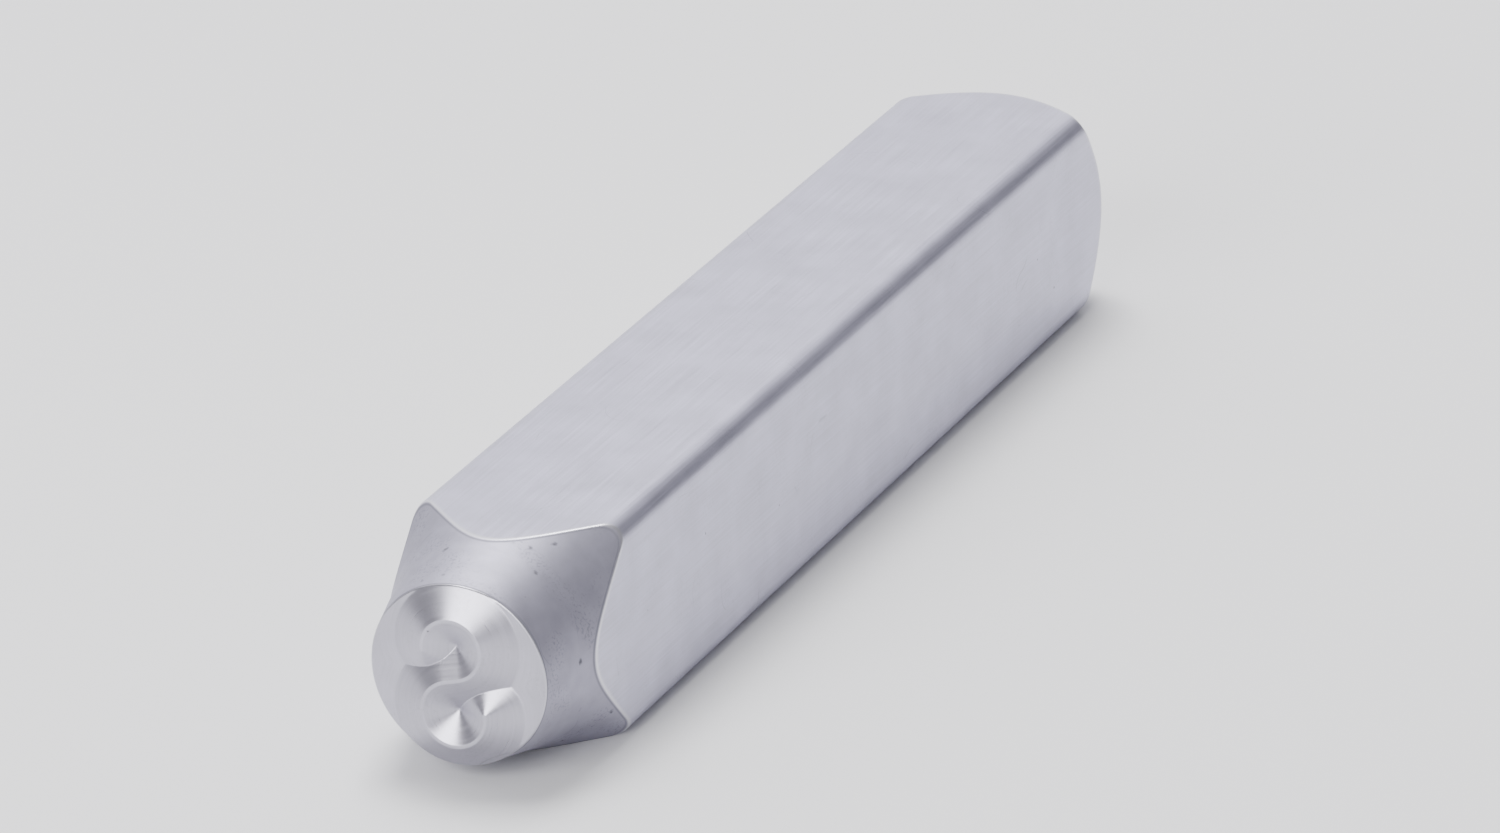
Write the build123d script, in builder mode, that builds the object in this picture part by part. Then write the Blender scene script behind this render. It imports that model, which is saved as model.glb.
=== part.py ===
from build123d import *

import os
from math import cos, radians, sin, sqrt, tan

# Steel letter punch: one piece of square bar, turned at both ends, with a letter cut on its tip.
# It lies on one flat, with its axis along Y, the letter facing -Y and the struck head at +Y.
# The top of the letter points to +Z. Sizes are in millimetres and angles in degrees.

# Bar
shank_width = 10.0
punch_length = 65.0
long_edge_radius = 1.0

# Turned neck behind the letter: a plain cone, then a flare that runs out at the bar's long edges
tip_inset = 0.85
neck_angle = 13.5
cone_length = 2.4
flare_length = 4.3

# Struck head
head_face_inset = 0.9
head_bevel_angle = 40.0

# Letter, as it stands on the face: the mirror image of the letter that it stamps
letter_height = 6.0
letter_drop = 0.2
stroke_width = 0.15
relief_height = 0.75
flank_run = 1.5
spine_slope = 14.0
upper_bowl_ratio = 0.92
stroke_end_overrun = 5.0

# How far the turned outline reaches past the bar, and how deep the strokes are rooted in the face
clearance = 1.0
stroke_root = 0.5

# Places on the axis
axis_height = shank_width / 2
ridge_y = -punch_length / 2
floor_y = ridge_y + relief_height
bar_length = punch_length - relief_height

# Radii about the axis
flat_radius = shank_width / 2
corner_radius = sqrt(2) * (flat_radius - long_edge_radius) + long_edge_radius
outer_radius = corner_radius + clearance
tip_radius = flat_radius - tip_inset
head_face_radius = flat_radius - head_face_inset
cone_slope = tan(radians(neck_angle))

# The letter's two bowls, which the straight spine touches at its slope
stroke_line_height = letter_height - stroke_width
bowl_radius_sum = stroke_line_height * cos(radians(spine_slope)) / (1 + cos(radians(spine_slope)))
lower_bowl_radius = bowl_radius_sum / (1 + upper_bowl_ratio)
upper_bowl_radius = bowl_radius_sum - lower_bowl_radius
upper_bowl_height = stroke_line_height / 2 - letter_drop - upper_bowl_radius
lower_bowl_height = lower_bowl_radius - stroke_line_height / 2 - letter_drop
bowl_sweep = 270 + stroke_end_overrun - spine_slope
spine_length = (upper_bowl_height - lower_bowl_height) * sin(radians(spine_slope))

# The face seen from in front, X to the right and Z up, and the lathe's plane, with its axis along Y
face_plane = Plane(origin=(0, floor_y, axis_height), x_dir=(1, 0, 0), z_dir=(0, -1, 0))
lathe_plane = Plane(origin=(0, floor_y, axis_height), x_dir=(0, 1, 0), z_dir=(1, 0, 0))
lathe_axis = Axis((0, floor_y, axis_height), (0, 1, 0))


def stroke_plane(x, z, angle):
    """Upright plane on the face at x, z: its own X runs along the face at the angle, its own Y outwards."""
    along = Vector(cos(radians(angle)), 0, sin(radians(angle)))
    outwards = face_plane.z_dir
    origin = face_plane.from_local_coords(Vector(x, z, 0))
    return Plane(origin=origin, x_dir=along, z_dir=along.cross(outwards))


def stroke_axis(x, z):
    """Axis square to the face at x, z."""
    return Axis(face_plane.from_local_coords(Vector(x, z, 0)), face_plane.z_dir)


def half_stroke_section(radius, foot):
    """Outline of a stroke bent to a radius: a narrow top, a sloping flank each side, and its root.

    The inner flank stops at the foot, which is the bowl's own axis where the flank would cross it.
    """
    inner_top = max(radius - stroke_width / 2, foot)
    foot_height = relief_height * (1 - (inner_top - foot) / flank_run)
    outer_top = radius + stroke_width / 2
    outer_foot = outer_top + flank_run
    return [
        (foot, -stroke_root),
        (foot, foot_height),
        (inner_top, relief_height),
        (outer_top, relief_height),
        (outer_foot, 0),
        (outer_foot, -stroke_root),
    ]


def curved_stroke(x, z, radius, start, sweep):
    """Stroke round a bowl's centre, counter-clockwise from the start angle."""
    foot = max(0.0, radius - stroke_width / 2 - flank_run)
    with BuildSketch(stroke_plane(x, z, start)) as section:
        with BuildLine():
            Polyline(*half_stroke_section(radius, foot), close=True)
        make_face()
    revolve(section.sketch, axis=stroke_axis(x, z), revolution_arc=sweep)


def stroke_end(x, z, start):
    """Rounded end of a stroke: half a cone about the end of its line."""
    with BuildSketch(stroke_plane(x, z, start)) as section:
        with BuildLine():
            Polyline(
                (0, -stroke_root),
                (0, relief_height),
                (stroke_width / 2, relief_height),
                (stroke_width / 2 + flank_run, 0),
                (stroke_width / 2 + flank_run, -stroke_root),
                close=True,
            )
        make_face()
    revolve(section.sketch, axis=stroke_axis(x, z), revolution_arc=180)


def straight_stroke(x, z, angle, length):
    """Straight stroke from x, z in the direction of the angle."""
    half_top = stroke_width / 2
    half_foot = half_top + flank_run
    with BuildSketch(stroke_plane(x, z, angle + 90)) as section:
        with BuildLine():
            Polyline(
                (-half_foot, -stroke_root),
                (-half_foot, 0),
                (-half_top, relief_height),
                (half_top, relief_height),
                (half_foot, 0),
                (half_foot, -stroke_root),
                close=True,
            )
        make_face()
    extrude(section.sketch, amount=length)


def bowl(height, radius, start):
    """One bowl of the letter with its free end, from where the spine joins it."""
    curved_stroke(0, height, radius, start, bowl_sweep)
    end = radians(start + bowl_sweep)
    stroke_end(radius * cos(end), height + radius * sin(end), start + bowl_sweep)


with BuildPart() as letter_punch:
    # Square bar with rounded long edges, from the floor of the face to the struck head
    with BuildSketch(face_plane):
        RectangleRounded(shank_width, shank_width, long_edge_radius)
    extrude(amount=-bar_length)

    # Letter in relief: the upper bowl is closed at the right and the lower one at the left
    join_angle = spine_slope - 90
    bowl(upper_bowl_height, upper_bowl_radius, join_angle)
    bowl(lower_bowl_height, lower_bowl_radius, join_angle + 180)
    straight_stroke(
        upper_bowl_radius * cos(radians(join_angle)),
        upper_bowl_height + upper_bowl_radius * sin(radians(join_angle)),
        spine_slope + 180,
        spine_length,
    )

    # Turned outline: tip, flaring neck and bevelled head, which trims the bar and the letter's flanks
    with BuildSketch(lathe_plane):
        with BuildLine():
            cone = Line(
                (-relief_height, tip_radius - relief_height * cone_slope),
                (cone_length, tip_radius + cone_length * cone_slope),
            )
            flare = TangentArc(cone @ 1, (cone_length + flare_length, corner_radius), tangent=cone % 1)
            run_out = (flare @ 1) + (flare % 1) * (clearance / (flare % 1).Y)
            bevel_length = (outer_radius - head_face_radius) / tan(radians(head_bevel_angle))
            Polyline(
                flare @ 1,
                run_out,
                (bar_length - bevel_length, outer_radius),
                (bar_length, head_face_radius),
                (bar_length, 0),
                (-relief_height, 0),
                cone @ 0,
            )
        make_face()
    revolve(axis=lathe_axis, mode=Mode.INTERSECT)

letter_punch.part.label = "letter_punch"

os.makedirs("parts", exist_ok=True)
export_step(letter_punch.part, "parts/letter_punch.step")
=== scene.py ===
"""Steel letter punch: its finished surface, worked out from its sizes, and a plain stage to see it on.

The blank is rings of points about the punch's axis, trimmed to the square bar. The letter is raised on
the round face by Geometry Nodes, which measure each point's distance from the line of the stroke.
Sizes are in metres and angles in radians. The punch lies along Y, with the letter facing -Y.
"""

import math

import bpy
import numpy as np
from mathutils import Euler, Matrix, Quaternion, Vector
from mathutils.geometry import delaunay_2d_cdt


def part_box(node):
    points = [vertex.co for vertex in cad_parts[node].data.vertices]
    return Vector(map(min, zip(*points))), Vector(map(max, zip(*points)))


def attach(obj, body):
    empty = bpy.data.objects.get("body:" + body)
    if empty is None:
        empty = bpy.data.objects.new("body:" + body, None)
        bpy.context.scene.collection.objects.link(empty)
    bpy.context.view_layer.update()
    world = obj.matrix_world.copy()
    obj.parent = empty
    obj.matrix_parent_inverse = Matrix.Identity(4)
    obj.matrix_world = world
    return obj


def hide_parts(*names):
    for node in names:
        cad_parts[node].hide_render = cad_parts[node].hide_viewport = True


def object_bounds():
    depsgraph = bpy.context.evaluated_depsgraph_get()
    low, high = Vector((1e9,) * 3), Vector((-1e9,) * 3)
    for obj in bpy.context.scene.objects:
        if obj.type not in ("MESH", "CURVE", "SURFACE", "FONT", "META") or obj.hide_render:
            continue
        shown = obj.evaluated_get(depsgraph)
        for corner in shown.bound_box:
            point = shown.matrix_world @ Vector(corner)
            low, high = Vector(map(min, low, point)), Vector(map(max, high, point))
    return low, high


bl_info = {
    "name": "Letter Punch",
    "version": (1, 0, 0),
    "blender": (4, 5, 0),
    "location": "View3D > Sidebar > Letter Punch",
    "description": "Makes a steel letter punch with its finishes, and a plain stage",
    "category": "Add Mesh",
}

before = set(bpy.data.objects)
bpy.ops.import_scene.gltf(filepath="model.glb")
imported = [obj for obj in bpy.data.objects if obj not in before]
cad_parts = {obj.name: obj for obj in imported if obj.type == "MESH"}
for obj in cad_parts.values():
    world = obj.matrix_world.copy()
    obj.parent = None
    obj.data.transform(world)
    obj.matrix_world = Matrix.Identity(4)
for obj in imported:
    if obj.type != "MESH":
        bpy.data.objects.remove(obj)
CAD_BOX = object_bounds()
LOW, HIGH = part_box("letter_punch")

MM = 0.001
PIECE = "letter_punch_steel"

# Zones of the surface, which are also the order of the piece's materials
FLATS, NECK, HEAD, FACE = range(4)

# Points round the punch, and steps between rings along the neck, the flats and the bevel
COLUMNS = 480
NECK_STEPS = 28
FLAT_STEPS = 26
BEVEL_STEPS = 12

# Places along the neck at which its radius is compared with the bar's
NECK_PLACES = 2000

# Rings near each end of the flats and how far wear, with its painted highlight and painted shade line,
# reaches there, both in shoulder softnesses, and the wear of the face's rim where that of the other edges
# is one
NEAR_EDGE = np.array([-2.4, -1.7, -1.2, -0.9, -0.6, -0.3, 0.0, 0.3, 0.6, 0.9, 1.2, 1.7, 2.4])
WEAR_AND_PAINTED_LIGHT_REACH = 1.4
RIM_WEAR_AND_PAINTED_LIGHT = 0.5

# Rings on the struck face, as shares of its radius
HEAD_RINGS = (1.0, 0.97, 0.8, 0.55, 0.3)

# Steps round a bowl, round a stroke's free end and along the spine
BOWL_STEPS = 96
CAP_STEPS = 14
SPINE_STEPS = 9

# Lines of points beside the stroke, at softnesses from its top edge, at shares of its flank, and at
# softnesses from its foot
CREST_LINES = np.array([-1.0, -0.5, -0.2, 0.0, 0.2, 0.5, 1.0, 1.9])
FLANK_LINES = np.linspace(0.1, 0.95, 12)
FOOT_LINES = np.array([-1.0, 0.0, 1.0, 3.0])

# A line beside a bowl has at least this radius, and its points are this near to their true offset
LEAST_RADIUS = 0.01 * MM
LINE_TOLERANCE = 0.0005 * MM

# Valleys where two flanks meet: their steps, the lines beside them, and the room that other lines leave
VALLEY_STEP = 0.05 * MM
VALLEY_HALVINGS = 24
RAIL_GAP = 0.03 * MM
VALLEY_GAP = 0.06 * MM

# Inside the rim: where lines stop, two rings of points, and the spacing of points on the face's floor
RIM_GAP = 0.08 * MM
OUTER_RING_GAP = 0.04 * MM
INNER_RING_GAP = 0.14 * MM
FLOOR_STEP = 0.22 * MM

# The letter's bowls, as the tree's inputs name them
BOWLS = ("Upper", "Lower")

# Triangulation: fill the whole outline, and merge points nearer than this in millimetres
WHOLE_OUTLINE = 0
MERGE_DISTANCE = 1e-4

# The floor's side, and the places and sides of the two softboxes
FLOOR_SIDE = 4.0
KEY_PLACE = (-0.07, 0.12, 0.46)
KEY_SIDE = 0.22
FRONT_PLACE = (-0.05, -0.39, 0.17)
FRONT_SIDE = 0.28

# The glow: the way to its middle, and the cosines of the angles from there where it ends and is full
GLOW_MIDDLE = (-0.58, 0.71, 0.40)
GLOW_EDGE = 0.55
GLOW_FULL = 0.95


def number(name, description, default, **more):
    """A number that the sidebar shows."""
    return bpy.props.FloatProperty(name=name, description=description, default=default, **more)


def amount(name, description, default, **more):
    """A number that isn't negative."""
    return number(name, description, default, min=0.0, **more)


def length(name, description, default):
    """A size in metres."""
    return amount(name, description, default, precision=5, unit="LENGTH", subtype="DISTANCE")


def share(name, description, default):
    """A plain share between nothing and one."""
    return amount(name, description, default, max=1.0, subtype="FACTOR")


def angle(name, description, degrees):
    """An angle that the sidebar shows in degrees."""
    return number(name, description, math.radians(degrees), unit="ROTATION", subtype="ANGLE")


def colour(name, description, default):
    """A colour in linear light."""
    parts = {"size": 3, "min": 0.0, "max": 1.0, "subtype": "COLOR"}
    return bpy.props.FloatVectorProperty(name=name, description=description, default=default, **parts)


class PunchSizes(bpy.types.PropertyGroup):
    """Sizes of the bar, its turned neck and its head."""

    shank_width: length("Shank width", "Across the flats of the square bar", HIGH.x - LOW.x)
    punch_length: length("Length", "From the letter to the struck face", HIGH.y - LOW.y)
    long_edge_radius: length("Long edge radius", "Rounding of the bar's four long edges", 1.0 * MM)
    tip_inset: length("Tip inset", "How far the round face's rim stands inside each flat", 0.85 * MM)
    neck_angle: angle("Neck angle", "Slope of the cone behind the face", 13.5)
    cone_length: length("Cone length", "From the face's floor to the start of the flare", 2.4 * MM)
    flare_length: length("Flare length", "From the cone to where the flare meets the long edges", 4.3 * MM)
    head_face_inset: length("Head inset", "How far the struck face's rim stands inside each flat", 0.9 * MM)
    head_bevel_angle: angle("Head bevel", "Slope of the struck end's bevel to the axis", 40.0)
    shoulder_softness: length("Shoulder softness", "Rounding along both ends of the flats", 0.12 * MM)
    rim_break: length("Rim break", "Tiny bevel round the face's rim", 0.035 * MM)
    head_break: length("Head break", "Small bevel round the struck face", 0.15 * MM)


class LetterSizes(bpy.types.PropertyGroup):
    """Sizes of the letter in relief, which stands mirrored on the face."""

    letter_height: length("Letter height", "Over the tops of the strokes", 6.0 * MM)
    letter_drop: length("Letter drop", "How far the letter sits below the middle of the face", 0.2 * MM)
    stroke_width: length("Stroke width", "Narrow top of each stroke", 0.15 * MM)
    relief_height: length("Relief height", "From the face's floor to the tops of the strokes", 0.75 * MM)
    flank_run: length("Flank run", "Width of the slope on each side of a stroke", 1.5 * MM)
    spine_slope: angle("Spine slope", "Slope of the stroke between the two bowls", 14.0)
    upper_bowl_ratio: share("Upper bowl", "Radius of the upper bowl over that of the lower one", 0.92)
    stroke_end_overrun: angle("Stroke end", "Turn of a free end past the level of its bowl's centre", 5.0)
    crest_softness: length("Crest softness", "Rounding of the strokes' top edges", 0.02 * MM)
    foot_softness: length("Foot softness", "Rounding in the corners that the cutter left", 0.03 * MM)


class SteelFinish(bpy.types.PropertyGroup):
    """Colours of the bare steel, whose blue-lilac tint is partly the steel's own cool tone and partly a
    painted reflection of bluish surroundings.
    """

    # The blue-lilac tint of these colours is partly the steel's cool tone and partly a painted reflection
    # of bluish surroundings
    flat_colour: colour("Flats", "Satin ground flats", (0.53, 0.521, 0.64))
    neck_colour: colour("Neck", "Matte turned neck", (0.39, 0.381, 0.46))
    face_colour: colour("Face", "Freshly cut face and letter", (0.455, 0.444, 0.51))
    pit_colour: colour("Pits", "Dark specks in the steel", (0.10, 0.10, 0.11))
    # Partly steel rubbed bright by wear, partly a painted highlight along the edges
    wear_and_highlight_colour: colour("Bright edges", "Steel rubbed bright on the edges", (0.66, 0.655, 0.71))


class StageSettings(bpy.types.PropertyGroup):
    """Floor, light and camera."""

    azimuth: angle("Azimuth", "Camera's turn to the right of the letter's face", 24.0)
    elevation: angle("Elevation", "Camera's height above the horizon", 21.5)
    roll: angle("Roll", "Turn of the picture", -2.0)
    distance: length("Distance", "From the camera to the middle of the punch", 0.45)
    lens_mm: amount("Lens", "Focal length in millimetres", 236.0, unit="CAMERA")
    floor_colour: colour("Floor", "Pale floor", (0.80, 0.80, 0.81))
    key_power: amount("Key light", "Power of the softbox overhead", 3.2, unit="POWER")
    front_power: amount("Front light", "Power of the softbox that the letter faces", 2.1, unit="POWER")
    room_colour: colour("Room colour", "Colour of the light all round", (0.955, 0.948, 1.0))
    room_light: amount("Room light", "Strength of the light all round", 0.4)
    back_light: amount("Back light", "Strength of the glow at the back left", 1.8)


def add_node(tree, kind, inputs=None, **settings):
    """Adds a node. A socket among its inputs is linked and anything else is set as a value."""
    made = tree.nodes.new(kind)
    for key, value in settings.items():
        setattr(made, key, value)
    for key, value in (inputs or {}).items():
        if isinstance(value, bpy.types.NodeSocket):
            tree.links.new(value, made.inputs[key])
        else:
            made.inputs[key].default_value = value
    return made


def calculate(tree, operation, *values):
    """Adds a Math node on the values and gives its result."""
    return add_node(tree, "ShaderNodeMath", dict(enumerate(values)), operation=operation).outputs[0]


def combine(tree, operation, *vectors):
    """Adds a Vector Math node on the vectors and gives its result."""
    return add_node(tree, "ShaderNodeVectorMath", dict(enumerate(vectors)), operation=operation).outputs[0]


def ramp(tree, value, start, end, low=0.0, high=1.0, interpolation="SMOOTHSTEP"):
    """Adds a ramp that goes from low at the start to high at the end, and gives its result."""
    inputs = {"Value": value, "From Min": start, "From Max": end, "To Min": low, "To Max": high}
    return add_node(tree, "ShaderNodeMapRange", inputs, interpolation_type=interpolation).outputs[0]


def noise(tree, vector, scale, detail, roughness=0.5):
    """Adds a Noise Texture and gives its outputs."""
    inputs = {"Vector": vector, "Scale": scale, "Detail": detail, "Roughness": roughness}
    return add_node(tree, "ShaderNodeTexNoise", inputs).outputs


def new_group(name, kind, inputs, outputs):
    """A node tree with named sockets, the sockets that it is given, and its output node."""
    tree = bpy.data.node_groups.new(name, kind)
    for socket, socket_kind in inputs.items():
        tree.interface.new_socket(socket, in_out="INPUT", socket_type=socket_kind)
    for socket, socket_kind in outputs.items():
        tree.interface.new_socket(socket, in_out="OUTPUT", socket_type=socket_kind)
    return tree, tree.nodes.new("NodeGroupInput").outputs, tree.nodes.new("NodeGroupOutput")


def add_object(name, data):
    """Adds an object to the scene."""
    made = bpy.data.objects.new(name, data)
    bpy.context.scene.collection.objects.link(made)
    return made


def smooth_min(a, b, softness):
    """The lower of two heights, with the corner where they cross rounded off."""
    part = np.clip(0.5 + 0.5 * (b - a) / softness, 0.0, 1.0)
    return b + (a - b) * part - softness * part * (1.0 - part)


def square_radius(turn, half, corner):
    """Radius of a rounded square in the direction of the turn."""
    fold = np.abs((turn + math.pi / 4) % (math.pi / 2) - math.pi / 4)
    across, up = np.cos(fold), np.sin(fold)
    inner = half - corner
    flat = half / across
    bend = np.sqrt(np.maximum(corner**2 - (inner * (across - up)) ** 2, 0.0))
    return np.where(flat * up <= inner, flat, inner * (across + up) + bend)


def neck_radius(sizes, back):
    """Radius of the turned neck at distances back from the face's floor: a cone, then a round flare."""
    slope = math.tan(sizes.neck_angle)
    half = sizes.shank_width / 2
    start = Vector((sizes.cone_length, half - sizes.tip_inset + sizes.cone_length * slope))
    corner_radius = math.sqrt(2) * (half - sizes.long_edge_radius) + sizes.long_edge_radius
    end = Vector((sizes.cone_length + sizes.flare_length, corner_radius))
    chord = end - start
    normal = Vector((-math.sin(sizes.neck_angle), math.cos(sizes.neck_angle)))
    flare_radius = chord.length_squared / (2 * chord.dot(normal))
    centre = start + flare_radius * normal
    cone = half - sizes.tip_inset + back * slope
    reach = np.clip(back - centre.x, start.x - centre.x, end.x - centre.x)
    flare = centre.y - np.sqrt(flare_radius**2 - reach**2)
    end_slope = (end.x - centre.x) / (centre.y - end.y)
    return np.where(back < start.x, cone, flare + np.maximum(back - end.x, 0.0) * end_slope)


def head_radius(sizes, forward):
    """Radius of the head's bevel at distances forward from the struck face."""
    return sizes.shank_width / 2 - sizes.head_face_inset + forward * math.tan(sizes.head_bevel_angle)


def flat_ends(sizes, bar_length, square):
    """Where the flats start behind the neck and end at the bevel, for each radius of the square bar.

    Gives both distances behind the face's floor, and the neck's slope where the flats start.
    """
    backs = np.linspace(0.0, sizes.cone_length + sizes.flare_length, NECK_PLACES)
    neck = neck_radius(sizes, backs)
    start = np.interp(square, neck, backs)
    slope = np.interp(start, backs, np.gradient(neck, backs))
    bevel_length = (square - head_radius(sizes, 0.0)) / math.tan(sizes.head_bevel_angle)
    return start, bar_length - bevel_length, slope


def ring_places(sizes, bar_length, start, end):
    """Distances of the rings' points behind the face's floor, with rings along both ends of the flats.

    Gives a row for each ring, and the zone of the faces in front of each ring but the first.
    """
    near = NEAR_EDGE[:, None] * sizes.shoulder_softness
    first = np.full_like(start, sizes.rim_break)
    last = np.full_like(end, bar_length - sizes.head_break)
    places = [
        np.linspace(first, start + near[0], NECK_STEPS + 1)[:-1],
        start + near,
        np.linspace(start + near[-1], end + near[0], FLAT_STEPS + 1)[1:-1],
        end + near,
        np.linspace(end + near[-1], last, BEVEL_STEPS + 1)[1:],
    ]
    half_near = len(NEAR_EDGE) // 2
    zones = [NECK] * (NECK_STEPS + half_near)
    zones += [FLATS] * (half_near + FLAT_STEPS + half_near)
    zones += [HEAD] * (half_near + BEVEL_STEPS)
    return np.concatenate(places), zones


def bar_rings(sizes, bar_length, turns):
    """Rings from behind the face's rim to the struck face's bevel, with a point for each turn.

    Gives their radii, their distances behind the face's floor, the zones between them and their wear, which
    also sets the painted highlight and painted shade line.
    """
    square = square_radius(turns, sizes.shank_width / 2, sizes.long_edge_radius)
    start, end, slope = flat_ends(sizes, bar_length, square)
    backs, zones = ring_places(sizes, bar_length, start, end)
    soft = sizes.shoulder_softness
    head = head_radius(sizes, bar_length - backs)
    radii = smooth_min(neck_radius(sizes, backs), square, soft * slope)
    radii = smooth_min(radii, head, soft * math.tan(sizes.head_bevel_angle))
    from_edge = np.minimum(np.abs(backs - start), np.abs(backs - end)) / soft
    wear_and_painted_light = np.exp(-((from_edge / WEAR_AND_PAINTED_LIGHT_REACH) ** 2))
    wear_and_painted_light[0] = RIM_WEAR_AND_PAINTED_LIGHT
    wear_and_painted_light[-1] = 1.0
    return radii, backs, zones, wear_and_painted_light


def directions(start, sweep, steps):
    """Unit vectors turned through a sweep."""
    turns = np.linspace(start, start + sweep, steps)
    return np.stack([np.cos(turns), np.sin(turns)], axis=1)


def beside_line(line, gap):
    """Lines of points on both sides of a line, at a gap."""
    along = np.gradient(line, axis=0)
    across = np.stack([-along[:, 1], along[:, 0]], axis=1) * gap / np.hypot(*along.T)[:, None]
    return line + across, line - across


class LetterPath:
    """Centre line of the letter's stroke on the face: X to the right and Z up from the punch's axis.

    Each bowl is the height of its centre, its radius and the turn at which the spine joins it.
    """

    def __init__(self, letter):
        line_height = letter.letter_height - letter.stroke_width
        slope = letter.spine_slope
        radius_sum = line_height * math.cos(slope) / (1 + math.cos(slope))
        lower = radius_sum / (1 + letter.upper_bowl_ratio)
        upper = radius_sum - lower
        top = line_height / 2 - letter.letter_drop
        self.sweep = 1.5 * math.pi + letter.stroke_end_overrun - slope
        join = slope - math.pi / 2
        self.bowls = [
            (top - upper, upper, join),
            (top - line_height + lower, lower, join + math.pi),
        ]
        self.spine = [self.on_bowl(bowl, bowl[2]) for bowl in self.bowls]

    @staticmethod
    def on_bowl(bowl, turn):
        """Point of a bowl's line in the direction of the turn."""
        height, radius, _ = bowl
        return np.array([radius * math.cos(turn), height + radius * math.sin(turn)])

    @staticmethod
    def from_arc(points, bowl, first, last):
        """Distance of each point from part of a bowl's line."""
        height, radius, _ = bowl
        from_centre = points - [0.0, height]
        turn = np.arctan2(from_centre[:, 1], from_centre[:, 0])
        beside = (turn - first) % (2 * math.pi) <= last - first
        found = [np.where(beside, np.abs(np.hypot(*from_centre.T) - radius), np.inf)]
        found += [np.hypot(*(points - LetterPath.on_bowl(bowl, end)).T) for end in (first, last)]
        return np.min(found, axis=0)

    def from_spine(self, points):
        """Distance of each point from the straight part of the line."""
        first, last = self.spine
        along = last - first
        part = np.clip((points - first) @ along / (along @ along), 0.0, 1.0)
        return np.hypot(*(points - first - part[:, None] * along).T)

    def distance(self, points):
        """Distance of each point from the line."""
        found = [self.from_arc(points, bowl, bowl[2], bowl[2] + self.sweep) for bowl in self.bowls]
        return np.min([*found, self.from_spine(points)], axis=0)

    def valley(self, bowl, other, reach):
        """Points out from a bowl's centre, as near to its free end as to the rest, as far as the reach."""
        height, _, start = bowl
        middle, end = start + self.sweep / 2, start + self.sweep
        points = [np.array([0.0, height])]
        while True:
            radius = len(points) * VALLEY_STEP
            near, far = end, start + 2 * math.pi
            for _ in range(VALLEY_HALVINGS):
                turn = (near + far) / 2
                point = np.array([[radius * math.cos(turn), height + radius * math.sin(turn)]])
                rest = min(
                    self.from_arc(point, bowl, start, middle)[0],
                    self.from_arc(point, other, other[2], other[2] + self.sweep)[0],
                    self.from_spine(point)[0],
                )
                if self.from_arc(point, bowl, middle, end)[0] < rest:
                    near = turn
                else:
                    far = turn
            if rest > reach:
                return np.array(points)
            points.append(point[0])

    def beside(self, offset):
        """Lines of points at an offset on both sides of the stroke's line and round its free ends."""
        for bowl in self.bowls:
            height, radius, start = bowl
            for side in (radius + offset, radius - offset):
                if side > LEAST_RADIUS:
                    steps = max(CAP_STEPS, round(BOWL_STEPS * min(1.0, side / radius)))
                    yield [0.0, height] + side * directions(start, self.sweep, steps)
            end = start + self.sweep
            yield self.on_bowl(bowl, end) + offset * directions(end, math.pi, CAP_STEPS)
        first, last = self.spine
        parts = np.linspace(0.0, 1.0, SPINE_STEPS)[:, None]
        along = (last - first) / np.hypot(*(last - first))
        square = np.array([-along[1], along[0]])
        for side in (offset, -offset):
            yield first + parts * (last - first) + side * square


def stroke_offsets(letter):
    """Distances from the stroke's line at which the face has lines of points, in rising order."""
    half_top = letter.stroke_width / 2
    return np.concatenate([
        [0.0],
        half_top + CREST_LINES * letter.crest_softness,
        half_top + FLANK_LINES * letter.flank_run,
        half_top + letter.flank_run + FOOT_LINES * letter.foot_softness,
    ])


def floor_points(radius):
    """Evenly spaced points, in staggered rows, that cover a disc."""
    count = math.ceil(radius / FLOOR_STEP)
    across, up = np.meshgrid(np.arange(-count, count + 1.0), np.arange(-count, count + 1.0))
    return np.stack([(across + up % 2 / 2).ravel(), (up * math.sqrt(0.75)).ravel()], axis=1) * FLOOR_STEP


def face_points(letter, rim):
    """Points of the round face, the rim's own first, and the pairs of them that an edge has to join."""
    path = LetterPath(letter)
    offsets = stroke_offsets(letter)
    reach = offsets[-1]
    rim_radius = np.hypot(*rim.T).min()
    inner_limit = rim_radius - RIM_GAP
    upper, lower = path.bowls
    valleys = [path.valley(upper, lower, reach), path.valley(lower, upper, reach)]
    rails = [rail for line in valleys for rail in beside_line(line[1:], RAIL_GAP)]
    valley_points = np.concatenate(valleys)
    points = [*rim]
    edges = [(i, (i + 1) % len(rim)) for i in range(len(rim))]

    def add_line(line, kept):
        """Adds the kept points of a line, with an edge between those that follow each other."""
        for i in np.flatnonzero(kept):
            if i and kept[i - 1]:
                edges.append((len(points) - 1, len(points)))
            points.append(line[i])

    for offset in offsets:
        for line in path.beside(offset):
            kept = np.hypot(*line.T) < inner_limit
            kept &= np.abs(path.distance(line) - offset) < LINE_TOLERANCE
            to_valleys = np.hypot(*(line[:, None] - valley_points).transpose(2, 0, 1))
            add_line(line, kept & (to_valleys.min(axis=1) > VALLEY_GAP))
    for line in [*valleys, *rails]:
        add_line(line, np.hypot(*line.T) < inner_limit)

    spare = floor_points(rim_radius)
    clear = np.hypot(*spare.T) < inner_limit - FLOOR_STEP / 2
    points.extend(spare[clear & (path.distance(spare) > reach + FLOOR_STEP / 2)])
    outer_ring = rim * (rim_radius - OUTER_RING_GAP) / rim_radius
    inner_ring = rim * (rim_radius - INNER_RING_GAP) / rim_radius
    points.extend(outer_ring)
    points.extend(inner_ring[path.distance(inner_ring) > reach])
    return np.array(points), edges


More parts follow.
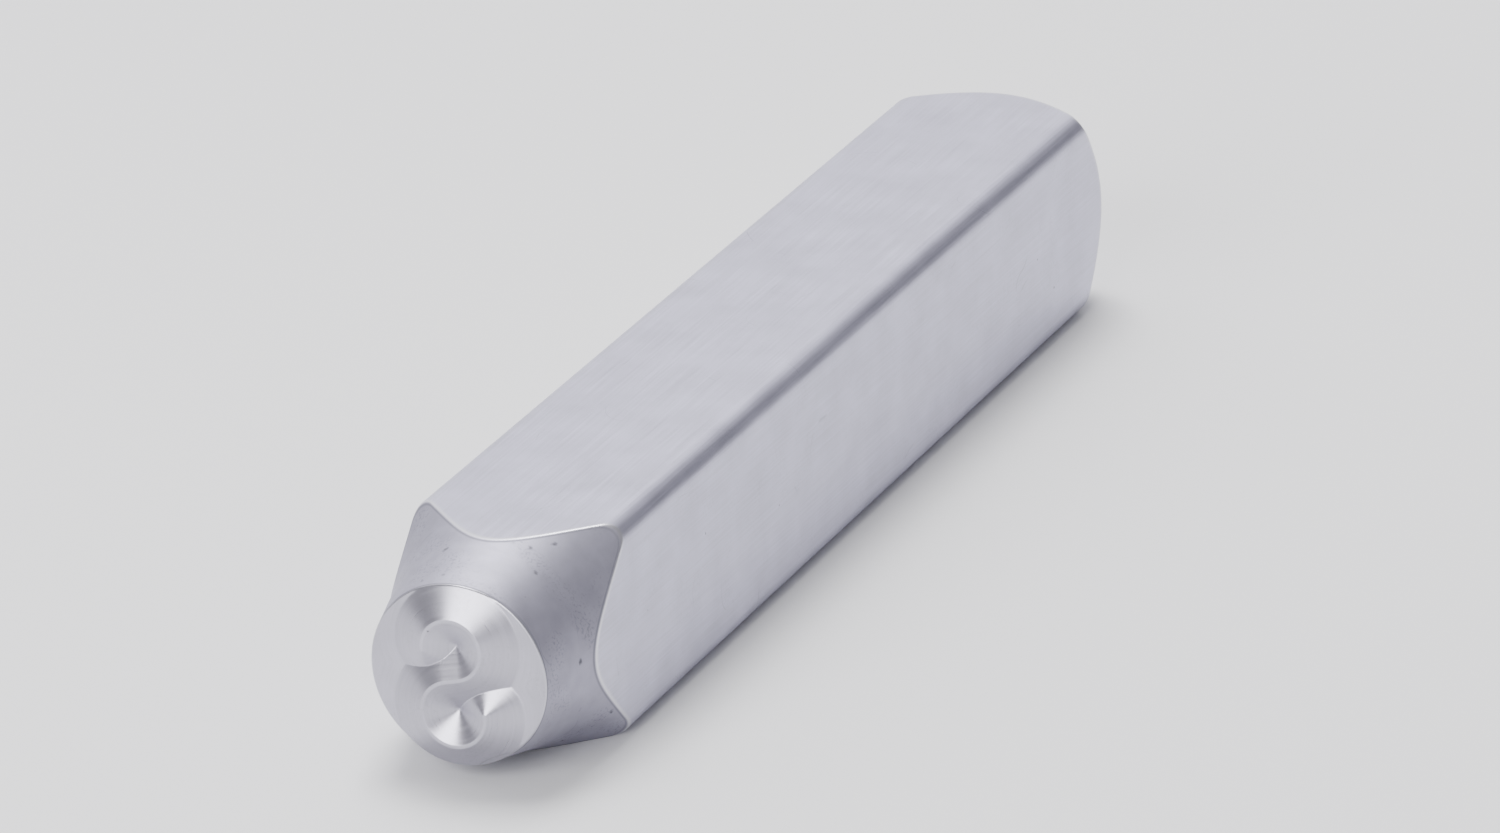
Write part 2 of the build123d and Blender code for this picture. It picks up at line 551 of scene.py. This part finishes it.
def face_mesh(letter, rim):
    """Flat mesh of the round face inside its rim, with its points in lines that follow the stroke.

    The first points are the rim's own. Gives the points across and up, and triangles seen from in front.
    """
    points, edges = face_points(letter, rim)
    flat = [Vector(point / MM) for point in points]
    made = delaunay_2d_cdt(flat, edges, [], WHOLE_OUTLINE, MERGE_DISTANCE, True)
    out, _, triangles, made_from, _, _ = made
    place = {source: i for i, sources in enumerate(made_from) for source in sources}
    order = [place[i] for i in range(len(rim))]
    order += sorted(set(range(len(out))) - set(order))
    rank = {old: new for new, old in enumerate(order)}
    return np.array([out[i] for i in order]) * MM, [tuple(rank[v] for v in t) for t in triangles]


def blank_mesh(sizes, letter):
    """Closed mesh of the punch before its letter is raised.

    It carries each face's zone, which points are on the round face, and how worn each point is, which also
    sets the painted highlight and painted shade line along edges.
    """
    half = sizes.shank_width / 2
    bar_length = sizes.punch_length - letter.relief_height
    floor_y = letter.relief_height - sizes.punch_length / 2
    turns = np.arange(COLUMNS) * 2 * math.pi / COLUMNS
    circle = np.stack([np.cos(turns), np.sin(turns)], axis=1)
    radii, backs, ring_zones, ring_wear_and_painted_light = bar_rings(sizes, bar_length, turns)
    face, triangles = face_mesh(letter, (half - sizes.tip_inset - sizes.rim_break) * circle)
    head_rim = half - sizes.head_face_inset - sizes.head_break / 2

    def place(flat, back):
        """Points across and up on the face's plane, moved back along the axis."""
        return np.column_stack([flat[:, 0], np.full(len(flat), floor_y) + back, flat[:, 1] + half])

    points = [place(face, 0.0)]
    points += [place(radius[:, None] * circle, back) for radius, back in zip(radii, backs)]
    points += [place(head_rim * part * circle, bar_length) for part in HEAD_RINGS]
    points.append(place(np.zeros((1, 2)), bar_length))
    points = np.concatenate(points)

    column = np.arange(COLUMNS)
    following = (column + 1) % COLUMNS
    starts = [0, *(len(face) + COLUMNS * np.arange(len(backs) + len(HEAD_RINGS)))]
    bands = [
        np.column_stack([front + column, behind + column, behind + following, front + following])
        for front, behind in zip(starts, starts[1:])
    ]
    centre = np.full(COLUMNS, len(points) - 1)
    fan = np.column_stack([starts[-1] + column, centre, starts[-1] + following])
    faces = triangles + np.concatenate(bands).tolist() + fan.tolist()
    band_zones = [FACE, *ring_zones, *[HEAD] * (len(HEAD_RINGS) + 1)]
    zones = np.array([FACE] * len(triangles) + np.repeat(band_zones, COLUMNS).tolist(), np.int32)

    on_face = np.zeros(len(points), bool)
    on_face[: starts[2]] = True
    edge_wear_and_painted_light = np.zeros(len(points), np.float32)
    head_start = starts[1 + len(backs)]
    edge_wear_and_painted_light[:COLUMNS] = RIM_WEAR_AND_PAINTED_LIGHT
    edge_wear_and_painted_light[starts[1] : head_start] = ring_wear_and_painted_light.ravel()
    edge_wear_and_painted_light[head_start : head_start + COLUMNS] = 1.0

    mesh = bpy.data.meshes.new(PIECE)
    mesh.from_pydata(points.tolist(), [], faces)
    mesh.polygons.foreach_set("use_smooth", [True] * len(faces))
    # The round face waits with the head's material until the tree gives it its own
    mesh.polygons.foreach_set("material_index", np.minimum(zones, HEAD))
    mesh.attributes.new("zone", "INT", "FACE").data.foreach_set("value", zones)
    mesh.attributes.new("on_face", "BOOLEAN", "POINT").data.foreach_set("value", on_face)
    mesh.attributes.new("edge", "FLOAT", "POINT").data.foreach_set("value", edge_wear_and_painted_light)
    mesh.validate()
    return mesh


def check_closed(mesh):
    """Raises an error if the mesh is empty, or if any of its edges hasn't exactly two faces."""
    edges = np.empty(len(mesh.loops), np.int32)
    mesh.loops.foreach_get("edge_index", edges)
    uses = np.bincount(edges, minlength=len(mesh.edges))
    if not len(uses) or (uses != 2).any():
        raise RuntimeError("The punch's surface isn't closed.")


def stroke_distance(tree, given):
    """Nodes that measure each point's distance from the stroke's line: two arcs and the spine."""
    strokes = []
    for bowl in BOWLS:
        bend = {
            "Resolution": 2 * BOWL_STEPS,
            "Radius": given[f"{bowl} Radius"],
            "Start Angle": given[f"{bowl} Start"],
            "Sweep Angle": given["Sweep"],
        }
        arc = add_node(tree, "GeometryNodeCurveArc", bend, mode="RADIUS").outputs["Curve"]
        centre = add_node(tree, "ShaderNodeCombineXYZ", {"Y": given[f"{bowl} Height"]}).outputs[0]
        moved = add_node(tree, "GeometryNodeTransform", {"Geometry": arc, "Translation": centre})
        strokes.append(moved.outputs[0])
    ends = {"Start": given["Spine Start"], "End": given["Spine End"]}
    strokes.append(add_node(tree, "GeometryNodeCurvePrimitiveLine", ends).outputs[0])
    joined = tree.nodes.new("GeometryNodeJoinGeometry")
    for stroke in strokes:
        tree.links.new(stroke, joined.inputs[0])
    line = add_node(tree, "GeometryNodeCurveToMesh", {"Curve": joined.outputs[0]}).outputs[0]
    turn = Euler((math.pi / 2, 0.0, 0.0))
    stand = {"Geometry": line, "Rotation": turn, "Translation": given["Face Centre"]}
    upright = add_node(tree, "GeometryNodeTransform", stand).outputs[0]
    near = add_node(tree, "GeometryNodeProximity", {0: upright}, target_element="EDGES")
    return near.outputs["Distance"]


def relief_above_floor(tree, given, distance):
    """Nodes that give a stroke its narrow top and sloping flanks, with the corners rounded off."""
    half_top = calculate(tree, "MULTIPLY", given["Stroke Width"], 0.5)
    past_top = calculate(tree, "SUBTRACT", distance, half_top)
    slope = calculate(tree, "DIVIDE", given["Relief Height"], given["Flank Run"])
    fall = calculate(tree, "MULTIPLY", past_top, slope)
    flank = calculate(tree, "SUBTRACT", given["Relief Height"], fall)
    crest = calculate(tree, "SMOOTH_MIN", flank, given["Relief Height"], given["Crest Softness"])
    return calculate(tree, "SMOOTH_MAX", crest, 0.0, given["Foot Softness"])


def carried(tree, name, kind):
    """A value that the mesh carries."""
    inputs = {"Name": name}
    return add_node(tree, "GeometryNodeInputNamedAttribute", inputs, data_type=kind).outputs[0]


def raise_letter_tree(material):
    """Geometry Nodes that raise the letter on the face, by each point's distance from the stroke's line."""
    numbers = ["Stroke Width", "Relief Height", "Flank Run", "Crest Softness", "Foot Softness"]
    numbers += [f"{bowl} {size}" for bowl in BOWLS for size in ("Height", "Radius", "Start")]
    inputs = {"Geometry": "NodeSocketGeometry", "Sweep": "NodeSocketFloat"}
    inputs.update(dict.fromkeys(numbers, "NodeSocketFloat"))
    inputs.update(dict.fromkeys(("Spine Start", "Spine End", "Face Centre"), "NodeSocketVector"))
    outputs = {"Geometry": "NodeSocketGeometry"}
    tree, given, out = new_group("Raise the letter", "GeometryNodeTree", inputs, outputs)

    distance = stroke_distance(tree, given)
    height = relief_above_floor(tree, given, distance)
    forward = calculate(tree, "MULTIPLY", height, -1.0)
    offset = add_node(tree, "ShaderNodeCombineXYZ", {"Y": forward}).outputs[0]
    store = {"Geometry": given["Geometry"], "Name": "stroke_distance", "Value": distance}
    measured = add_node(tree, "GeometryNodeStoreNamedAttribute", store, data_type="FLOAT", domain="POINT")
    on_face = carried(tree, "on_face", "BOOLEAN")
    push = {"Geometry": measured.outputs[0], "Selection": on_face, "Offset": offset}
    raised = add_node(tree, "GeometryNodeSetPosition", push).outputs[0]
    compare = {"A": carried(tree, "zone", "INT"), "B": FACE}
    cut = add_node(tree, "FunctionNodeCompare", compare, data_type="INT", operation="EQUAL").outputs[0]
    whole = add_node(tree, "GeometryNodeRealizeInstances", {"Geometry": raised}).outputs[0]
    dress = {"Geometry": whole, "Selection": cut, "Material": material}
    dressed = add_node(tree, "GeometryNodeSetMaterial", dress).outputs[0]
    tree.links.new(dressed, out.inputs[0])
    return tree


def letter_inputs(sizes, letter):
    """Values for the tree's inputs, by the names of its sockets."""
    path = LetterPath(letter)
    values = {
        "Stroke Width": letter.stroke_width,
        "Relief Height": letter.relief_height,
        "Flank Run": letter.flank_run,
        "Crest Softness": letter.crest_softness,
        "Foot Softness": letter.foot_softness,
        "Sweep": path.sweep,
        "Spine Start": (*path.spine[0], 0.0),
        "Spine End": (*path.spine[1], 0.0),
        "Face Centre": (0.0, letter.relief_height - sizes.punch_length / 2, sizes.shank_width / 2),
    }
    for name, (height, radius, start) in zip(BOWLS, path.bowls):
        values[f"{name} Height"] = height
        values[f"{name} Radius"] = radius
        values[f"{name} Start"] = start
    return values


def set_inputs(modifier, values):
    """Gives a Geometry Nodes modifier its inputs by the names of the tree's sockets."""
    for item in modifier.node_group.interface.items_tree:
        if item.item_type == "SOCKET" and item.in_out == "INPUT" and item.name in values:
            modifier[item.identifier] = values[item.name]


def effect_group(name, numbers, output):
    """A shader group that is given coordinates and some numbers and puts out one value."""
    inputs = {"Vector": "NodeSocketVector"}
    inputs.update(dict.fromkeys(numbers, "NodeSocketFloat"))
    return new_group(name, "ShaderNodeTree", inputs, {output: "NodeSocketFloat"})


def tool_marks_group():
    """Shared effect: fine lines left by a tool, on coordinates already stretched along them."""
    tree, given, out = effect_group("Tool marks", ["Contrast"], "Marks")
    lines = noise(tree, given["Vector"], scale=1.0, detail=5.0, roughness=0.62)
    spread = calculate(tree, "MULTIPLY_ADD", lines["Fac"], given["Contrast"], 0.5)
    centred = calculate(tree, "MULTIPLY_ADD", given["Contrast"], -0.5, spread)
    tree.links.new(centred, out.inputs["Marks"])
    return tree


def pits_group():
    """Shared effect: a few small pits with ragged edges, each at its own place and size."""
    # In pit sizes: a pit's least radius, what chance adds to it, and how far its edge wanders
    least, added, wander = 0.25, 0.5, 0.5
    # Changes of the ragged edge for each pit size, and how much of a pit's radius is fully dark
    changes, dark = 2.0, 0.4
    tree, given, out = effect_group("Pits", ["Spacing", "Pit Size", "Share"], "Pits")
    vector, spacing, size = given["Vector"], given["Spacing"], given["Pit Size"]
    ragged = noise(tree, vector, scale=calculate(tree, "DIVIDE", changes, size), detail=2.0)
    shift = combine(tree, "SUBTRACT", ragged["Color"], (0.5, 0.5, 0.5))
    raggedness = calculate(tree, "MULTIPLY", size, wander)
    moved = add_node(tree, "ShaderNodeVectorMath", {0: shift, "Scale": raggedness}, operation="SCALE")
    place = combine(tree, "ADD", vector, moved.outputs[0])
    scale = calculate(tree, "DIVIDE", 1.0, spacing)
    cells = add_node(tree, "ShaderNodeTexVoronoi", {"Vector": place, "Scale": scale})
    picked = add_node(tree, "ShaderNodeSeparateColor", {0: cells.outputs["Color"]})
    used = calculate(tree, "LESS_THAN", picked.outputs[0], given["Share"])
    own_size = calculate(tree, "MULTIPLY_ADD", picked.outputs[1], added, least)
    reach = calculate(tree, "MULTIPLY", calculate(tree, "DIVIDE", size, spacing), own_size)
    near = ramp(tree, cells.outputs["Distance"], reach, calculate(tree, "MULTIPLY", reach, dark))
    tree.links.new(calculate(tree, "MULTIPLY", near, used), out.inputs["Pits"])
    return tree


def speckle_group():
    """Shared effect: fine speckle that gathers in loose patches."""
    # Levels of the noises at which a grain, or a patch of them, begins to show and is full
    grain_shows, grain_full = 0.52, 0.68
    patch_shows, patch_full = 0.45, 0.65
    tree, given, out = effect_group("Speckle", ["Grain Size", "Patch Size"], "Speckle")
    grain_scale = calculate(tree, "DIVIDE", 1.0, given["Grain Size"])
    grain = noise(tree, given["Vector"], scale=grain_scale, detail=2.0)
    spots = ramp(tree, grain["Fac"], grain_shows, grain_full, interpolation="LINEAR")
    patch_scale = calculate(tree, "DIVIDE", 1.0, given["Patch Size"])
    patch = noise(tree, given["Vector"], scale=patch_scale, detail=1.0)
    where = ramp(tree, patch["Fac"], patch_shows, patch_full)
    tree.links.new(calculate(tree, "MULTIPLY", spots, where), out.inputs["Speckle"])
    return tree


def scratches_group():
    """Shared effect: a few thin curved scratches, each faint at its ends."""
    # The level of a noise that scratches follow
    followed = 0.46
    # How much finer a second noise is, and its levels at which a scratch begins to show and is full
    finer, shows, full = 1.7, 0.56, 0.68
    tree, given, out = effect_group("Scratches", ["Spacing", "Line Width"], "Scratches")
    scale = calculate(tree, "DIVIDE", 1.0, given["Spacing"])
    bends = noise(tree, given["Vector"], scale=scale, detail=0.0)
    level = calculate(tree, "ABSOLUTE", calculate(tree, "SUBTRACT", bends["Fac"], followed))
    half_width = calculate(tree, "DIVIDE", given["Line Width"], given["Spacing"])
    line = ramp(tree, level, half_width, 0.0)
    where = noise(tree, given["Vector"], scale=calculate(tree, "MULTIPLY", scale, finer), detail=1.0)
    faded = ramp(tree, where["Fac"], shows, full)
    tree.links.new(calculate(tree, "MULTIPLY", line, faded), out.inputs["Scratches"])
    return tree


def soft_patches_group():
    """Shared effect: soft, faint patches of lighter and darker steel."""
    tree, given, out = effect_group("Soft patches", ["Patch Size"], "Patches")
    patch_scale = calculate(tree, "DIVIDE", 1.0, given["Patch Size"])
    patches = noise(tree, given["Vector"], scale=patch_scale, detail=3.0)
    tree.links.new(patches["Fac"], out.inputs["Patches"])
    return tree


class SteelMaterial:
    """Bare steel with its tool's marks, pits, patches, bright edges that are partly wear and partly a
    painted highlight, and a painted shade line beside them.
    """

    # Places of a Mix node's colours, which share their names with its other inputs and outputs
    FIRST_COLOUR, SECOND_COLOUR, MIXED_COLOUR = 6, 7, 2

    # The darkest and lightest tone, as shares of the steel's colour, and how far the patches reach to them
    DARK_TONE = 0.78
    LIGHT_TONE = 1.14
    PATCH_TONE = 0.9

    # How dark scratches are beside pits, and how dark pits are
    SCRATCH_DARKNESS = 0.4
    SPOT_DARKNESS = 0.7

    # How much the marks spread the roughness, what pits add to it, and the roughness of a worn edge
    MARK_ROUGHNESS = 0.16
    SPOT_ROUGHNESS = 0.2
    WORN_ROUGHNESS = 0.32

    # Wear between which the painted shade line beside an edge fades in, and between which it fades out
    LINE_BEGINS = (0.08, 0.3)
    LINE_ENDS = (0.8, 0.5)

    def __init__(self, name, groups, finish):
        self.material = bpy.data.materials.new(name)
        self.material.use_nodes = True
        self.tree = self.material.node_tree
        self.steel = self.tree.nodes["Principled BSDF"]
        self.groups = groups
        self.finish = finish
        self.position = add_node(self.tree, "ShaderNodeTexCoord").outputs["Object"]

    def stretched(self, scale):
        """Coordinates multiplied by a scale for each axis, in changes of a noise for each metre."""
        return combine(self.tree, "MULTIPLY", self.position, scale)

    def layered(self, value, slow):
        """Coordinates that follow a value quickly, and every direction slowly."""
        across = add_node(self.tree, "ShaderNodeCombineXYZ", {"X": value})
        return combine(self.tree, "ADD", across.outputs[0], self.stretched((slow, slow, slow)))

    def rings(self, axis_height, fine, slow):
        """Coordinates that change quickly along and away from the punch's axis, and slowly round it."""
        tree = self.tree
        from_axis = combine(tree, "SUBTRACT", self.position, (0.0, 0.0, axis_height))
        apart = add_node(tree, "ShaderNodeSeparateXYZ", {0: from_axis}).outputs
        squares = [calculate(tree, "MULTIPLY", apart[i], apart[i]) for i in (0, 2)]
        radius = calculate(tree, "SQRT", calculate(tree, "ADD", *squares))
        along = calculate(tree, "MULTIPLY", calculate(tree, "SUBTRACT", radius, apart[1]), fine)
        return self.layered(along, slow)

    def use(self, group, inputs):
        """Output of one of the shared groups."""
        return add_node(self.tree, "ShaderNodeGroup", inputs, node_tree=self.groups[group]).outputs[0]

    def attribute(self, name):
        """A value that the mesh carries."""
        return add_node(self.tree, "ShaderNodeAttribute", attribute_name=name).outputs["Fac"]

    def mix(self, factor, a, b):
        """Colour between a, which is a socket or has an alpha, and b, which has none."""
        inputs = {"Factor": factor, self.FIRST_COLOUR: a, self.SECOND_COLOUR: (*b, 1.0)}
        mixed = add_node(self.tree, "ShaderNodeMix", inputs, data_type="RGBA", clamp_factor=True)
        return mixed.outputs[self.MIXED_COLOUR]

    def beside_edge(self):
        """Mask of a thin line of painted shade along each worn edge, just off the bright part."""
        edge = self.attribute("edge")
        begins = ramp(self.tree, edge, *self.LINE_BEGINS)
        ends = ramp(self.tree, edge, *self.LINE_ENDS)
        return calculate(self.tree, "MULTIPLY", begins, ends)

    def spots(self, pits, speckle, painted_shade_line):
        """Mask of everything dark: pits, speckle, scratches and the painted shade line beside worn edges.
        """
        tree = self.tree
        at = {"Vector": self.position}
        pitted = self.use("pits", {**at, **pits})
        speckled = self.use("speckle", {**at, "Grain Size": 0.13 * MM, "Patch Size": 2.0 * MM})
        scratched = self.use("scratches", {**at, "Spacing": 3.5 * MM, "Line Width": 0.02 * MM})
        dark = calculate(tree, "MAXIMUM", calculate(tree, "MULTIPLY", speckled, speckle), pitted)
        faint = calculate(tree, "MULTIPLY", scratched, self.SCRATCH_DARKNESS)
        dark = calculate(tree, "MAXIMUM", dark, faint)
        # Painted shade: a thin dark line beside worn edges, where shade falls in the corner
        if painted_shade_line:
            dark = calculate(tree, "MAXIMUM", dark, calculate(tree, "MULTIPLY", self.beside_edge(), painted_shade_line))
        return dark

    def build(self, base, marks, roughness, mark_depth, tone, patch_size, pits, speckle, wear_and_painted_light, painted_shade_line=0.0):
        """Joins the effects and connects them to the steel.

        Tone is how far the marks change the colour. The pits are given by the inputs of their group.
        Worn is how quickly the bright edge, which is partly wear and partly a painted highlight, fades, as
        a power. The painted shade line is how dark the line of painted shade beside it is.
        """
        tree = self.tree
        patches = self.use("patches", {"Vector": self.position, "Patch Size": patch_size})
        spots = self.spots(pits, speckle, painted_shade_line)
        # The bright edge mixed into the colour is partly wear and partly a painted highlight
        edge = calculate(tree, "POWER", self.attribute("edge"), wear_and_painted_light)
        unworn = calculate(tree, "SUBTRACT", 1.0, edge)

        marked = calculate(tree, "MULTIPLY_ADD", marks, tone, -tone / 2)
        shade = calculate(tree, "MULTIPLY_ADD", patches, self.PATCH_TONE, marked)
        dark = (*(part * self.DARK_TONE for part in base), 1.0)
        light = [min(1.0, part * self.LIGHT_TONE) for part in base]
        plain = self.mix(shade, dark, light)
        darkness = calculate(tree, "MULTIPLY", spots, self.SPOT_DARKNESS)
        spotted = self.mix(darkness, plain, self.finish.pit_colour)
        tree.links.new(self.mix(edge, spotted, self.finish.wear_and_highlight_colour), self.steel.inputs["Base Color"])
        self.steel.inputs["Metallic"].default_value = 1.0

        smoothest = roughness - self.MARK_ROUGHNESS / 2
        rough = calculate(tree, "MULTIPLY_ADD", marks, self.MARK_ROUGHNESS, smoothest)
        rough = calculate(tree, "MULTIPLY_ADD", spots, self.SPOT_ROUGHNESS, rough)
        past_worn = calculate(tree, "SUBTRACT", rough, self.WORN_ROUGHNESS)
        rough = calculate(tree, "MULTIPLY_ADD", past_worn, unworn, self.WORN_ROUGHNESS)
        tree.links.new(rough, self.steel.inputs["Roughness"])

        sunk = calculate(tree, "MULTIPLY_ADD", spots, -1.0, marks)
        height = calculate(tree, "MULTIPLY", sunk, unworn)
        bump = add_node(tree, "ShaderNodeBump", {"Strength": 1.0, "Distance": mark_depth, "Height": height})
        tree.links.new(bump.outputs[0], self.steel.inputs["Normal"])
        return self.material


def ground_flats(groups, finish):
    """Flats ground along their length."""
    steel = SteelMaterial("ground_flats", groups, finish)
    across, along = 9000.0, 160.0
    return steel.build(
        base=finish.flat_colour,
        marks=steel.use("marks", {"Vector": steel.stretched((across, along, across)), "Contrast": 1.3}),
        roughness=0.36,
        mark_depth=0.004 * MM,
        tone=1.0,
        patch_size=2.4 * MM,
        pits={"Spacing": 1.6 * MM, "Pit Size": 0.16 * MM, "Share": 0.12},
        speckle=0.12,
        wear_and_painted_light=1.0,
    )


def turned_neck(groups, finish):
    """Matte neck, with faint lines round it and a line of painted shade where it meets the flats."""
    steel = SteelMaterial("turned_neck", groups, finish)
    along, around = 7000.0, 400.0
    return steel.build(
        base=finish.neck_colour,
        marks=steel.use("marks", {"Vector": steel.stretched((around, along, around)), "Contrast": 0.6}),
        roughness=0.57,
        mark_depth=0.002 * MM,
        tone=0.3,
        patch_size=0.9 * MM,
        pits={"Spacing": 0.9 * MM, "Pit Size": 0.4 * MM, "Share": 0.22},
        speckle=0.4,
        wear_and_painted_light=6.0,
        # Painted shade on the neck beside the shoulder and beside the face's rim
        painted_shade_line=0.5,
    )


def struck_head(groups, finish, axis_height):
    """Head with turning marks that run round the axis."""
    steel = SteelMaterial("struck_head", groups, finish)
    turned = steel.rings(axis_height, fine=9000.0, slow=300.0)
    return steel.build(
        base=finish.flat_colour,
        marks=steel.use("marks", {"Vector": turned, "Contrast": 1.4}),
        roughness=0.42,
        mark_depth=0.004 * MM,
        tone=1.0,
        patch_size=2.4 * MM,
        pits={"Spacing": 0.9 * MM, "Pit Size": 0.12 * MM, "Share": 0.1},
        speckle=0.3,
        wear_and_painted_light=2.0,
    )


def cut_face(groups, finish):
    """Face and letter, with the cutter's marks along the strokes."""
    steel = SteelMaterial("cut_face", groups, finish)
    fine, slow = 11000.0, 350.0
    from_stroke = calculate(steel.tree, "MULTIPLY", steel.attribute("stroke_distance"), fine)
    return steel.build(
        base=finish.face_colour,
        marks=steel.use("marks", {"Vector": steel.layered(from_stroke, slow), "Contrast": 1.3}),
        roughness=0.31,
        mark_depth=0.0023 * MM,
        tone=0.55,
        patch_size=2.4 * MM,
        pits={"Spacing": 1.1 * MM, "Pit Size": 0.16 * MM, "Share": 0.12},
        speckle=0.15,
        wear_and_painted_light=1.5,
    )


def steel_materials(finish, axis_height):
    """The four finishes, in the order of the zones."""
    groups = {
        "marks": tool_marks_group(),
        "pits": pits_group(),
        "speckle": speckle_group(),
        "scratches": scratches_group(),
        "patches": soft_patches_group(),
    }
    return [
        ground_flats(groups, finish),
        turned_neck(groups, finish),
        struck_head(groups, finish, axis_height),
        cut_face(groups, finish),
    ]


class MakePunch(bpy.types.Operator):
    """Makes the punch's finished surface with its letter and puts it in the place of the CAD solid"""

    bl_idname = "letter_punch.make_punch"
    bl_label = "Make the punch"

    def execute(self, context):
        sizes = context.scene.punch_sizes
        letter = context.scene.punch_letter
        materials = steel_materials(context.scene.punch_finish, sizes.shank_width / 2)
        blank = blank_mesh(sizes, letter)
        for material in materials[:FACE]:
            blank.materials.append(material)
        piece = add_object(PIECE, blank)
        modifier = piece.modifiers.new("Letter", "NODES")
        modifier.node_group = raise_letter_tree(materials[FACE])
        set_inputs(modifier, letter_inputs(sizes, letter))
        evaluated = piece.evaluated_get(context.evaluated_depsgraph_get())
        finished = bpy.data.meshes.new_from_object(evaluated)
        piece.modifiers.clear()
        piece.data = finished
        bpy.data.meshes.remove(blank)
        check_closed(finished)

        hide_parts("letter_punch")
        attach(piece, "root")
        return {"FINISHED"}


def pale_floor(stage):
    """Wide flat floor, which isn't part of the punch."""
    mesh = bpy.data.meshes.new("floor")
    half = FLOOR_SIDE / 2
    corners = [(-half, -half, 0.0), (half, -half, 0.0), (half, half, 0.0), (-half, half, 0.0)]
    mesh.from_pydata(corners, [], [(0, 1, 2, 3)])
    material = bpy.data.materials.new("pale_floor")
    material.use_nodes = True
    surface = material.node_tree.nodes["Principled BSDF"]
    surface.inputs["Base Color"].default_value = (*stage.floor_colour, 1.0)
    surface.inputs["Roughness"].default_value = 0.7
    mesh.materials.append(material)
    add_object("floor", mesh)


def softbox(name, place, target, side, power):
    """Square area light that faces the target."""
    light = bpy.data.lights.new(name, "AREA")
    light.size = side
    light.energy = power
    lamp = add_object(name, light)
    lamp.location = place
    lamp.rotation_euler = (target - Vector(place)).to_track_quat("-Z", "Y").to_euler()


def studio_world(stage):
    """Dim room with a glow at the back left."""
    world = bpy.data.worlds.new("studio")
    world.use_nodes = True
    tree = world.node_tree
    room = tree.nodes["Background"]
    room.inputs["Color"].default_value = (*stage.room_colour, 1.0)
    ways = {0: add_node(tree, "ShaderNodeTexCoord").outputs["Generated"], 1: GLOW_MIDDLE}
    towards = add_node(tree, "ShaderNodeVectorMath", ways, operation="DOT_PRODUCT").outputs["Value"]
    strength = ramp(tree, towards, GLOW_EDGE, GLOW_FULL, low=stage.room_light, high=stage.back_light)
    tree.links.new(strength, room.inputs["Strength"])
    return world


def photo_camera(stage, target):
    """Camera that looks at the target from the photograph's direction."""
    data = bpy.data.cameras.new("camera")
    data.lens = stage.lens_mm
    data.clip_start = 0.01
    camera = add_object("camera", data)
    turn, rise = stage.azimuth, stage.elevation
    back = Vector((math.sin(turn) * math.cos(rise), -math.cos(turn) * math.cos(rise), math.sin(rise)))
    level = (-back).to_track_quat("-Z", "Y")
    camera.location = target + back * stage.distance
    camera.rotation_euler = (level @ Quaternion((0.0, 0.0, 1.0), stage.roll)).to_euler()
    return camera


class MakeStage(bpy.types.Operator):
    """Makes the pale floor, the soft light and the camera"""

    bl_idname = "letter_punch.make_stage"
    bl_label = "Make the stage"

    def execute(self, context):
        stage = context.scene.punch_stage
        low, high = CAD_BOX
        middle = (low + high) / 2
        pale_floor(stage)
        softbox("key_light", KEY_PLACE, middle, KEY_SIDE, stage.key_power)
        softbox("front_light", FRONT_PLACE, middle, FRONT_SIDE, stage.front_power)
        context.scene.world = studio_world(stage)
        context.scene.camera = photo_camera(stage, middle)
        return {"FINISHED"}


SETTINGS = {
    "punch_sizes": PunchSizes,
    "punch_letter": LetterSizes,
    "punch_finish": SteelFinish,
    "punch_stage": StageSettings,
}


class PunchPanel(bpy.types.Panel):
    """Lists the punch's settings and the steps that make it"""

    bl_idname = "VIEW3D_PT_letter_punch"
    bl_label = "Letter Punch"
    bl_space_type = "VIEW_3D"
    bl_region_type = "UI"
    bl_category = "Letter Punch"

    def draw(self, context):
        for name, group in SETTINGS.items():
            column = self.layout.column(align=True)
            for setting in group.__annotations__:
                column.prop(getattr(context.scene, name), setting)
        self.layout.operator(MakePunch.bl_idname)
        self.layout.operator(MakeStage.bl_idname)


CLASSES = (*SETTINGS.values(), MakePunch, MakeStage, PunchPanel)


def register():
    for each in CLASSES:
        bpy.utils.register_class(each)
    for name, group in SETTINGS.items():
        setattr(bpy.types.Scene, name, bpy.props.PointerProperty(type=group))


def unregister():
    for name in SETTINGS:
        delattr(bpy.types.Scene, name)
    for each in reversed(CLASSES):
        bpy.utils.unregister_class(each)


def main():
    register()
    bpy.ops.letter_punch.make_punch()
    bpy.ops.letter_punch.make_stage()


if __name__ == "__main__":
    main()
